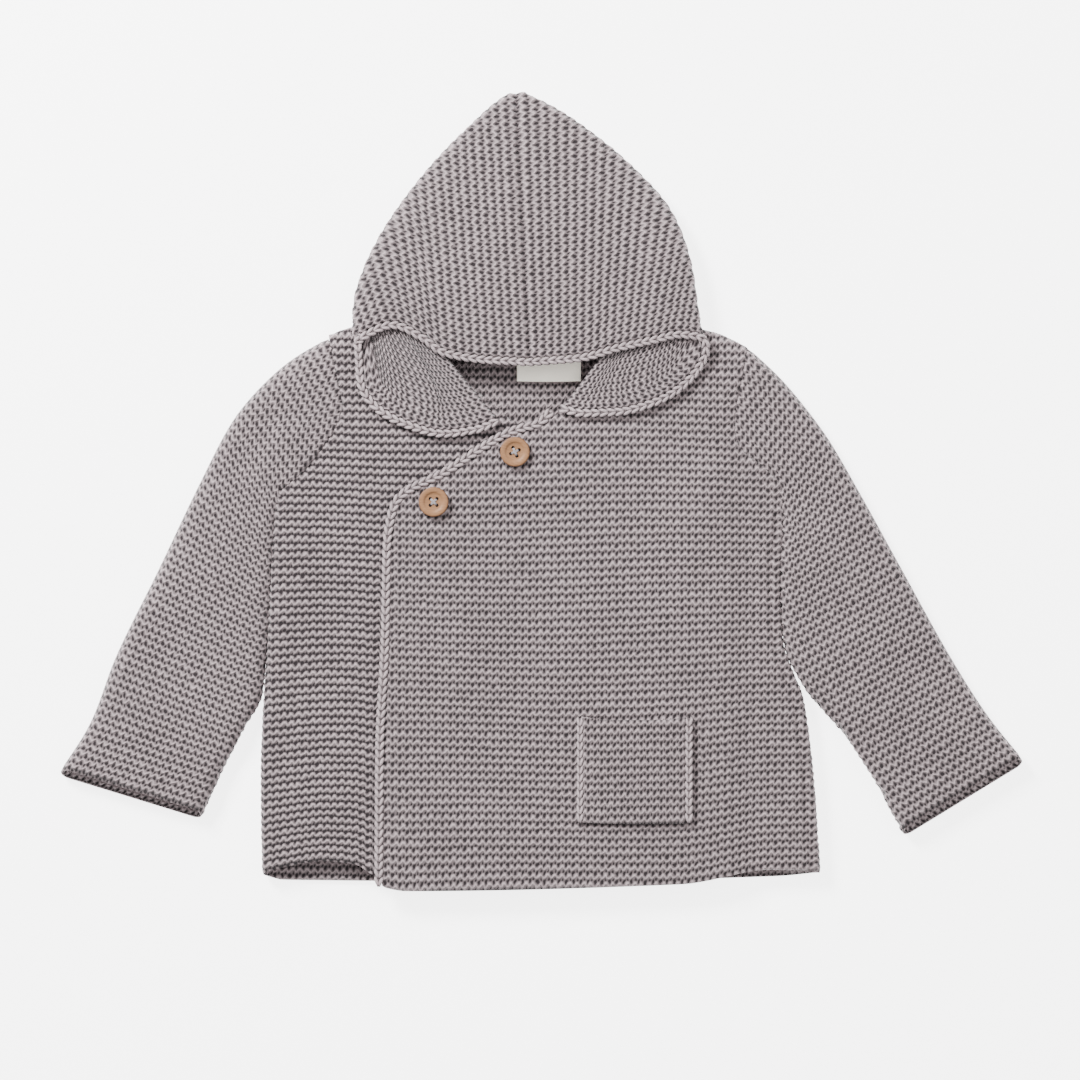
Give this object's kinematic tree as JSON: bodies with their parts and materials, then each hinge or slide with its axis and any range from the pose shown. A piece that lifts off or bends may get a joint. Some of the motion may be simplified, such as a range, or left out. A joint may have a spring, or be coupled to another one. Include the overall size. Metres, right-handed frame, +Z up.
{
  "type": "hooded wrap baby cardigan",
  "caption": "Knitted garter-stitch baby cardigan with a pointed hood, wrap front, wooden buttons and a patch pocket, laid flat on its back with open hem, cuffs, neck and hood",
  "frame": {"origin": "under the middle of the garment's bounding box, on the surface that it lies on", "axes": "+X across the garment towards the wearer's left sleeve, +Y from the hem up to the point of the hood, +Z up from the surface, out of the front of the garment"},
  "size_m": [0.5221, 0.4339, 0.0185],
  "materials": {
    "knit": "mauve-grey cotton yarn in garter stitch, matt",
    "trim": "the same yarn in a chain-stitch edge, matt",
    "wood": "turned light brown wood, matt",
    "label": "woven cream ribbon, satin"
  },
  "bodies": {
    "root": {"back": "knit", "front_right": "knit", "front_left": "knit", "sleeve_right": "knit", "sleeve_left": "knit", "hood": "knit", "pocket": "knit", "front_edge_trim": "trim", "hood_edge_trim": "trim", "button_upper": "wood", "button_lower": "wood", "label": "label"}
  },
  "joints": []
}
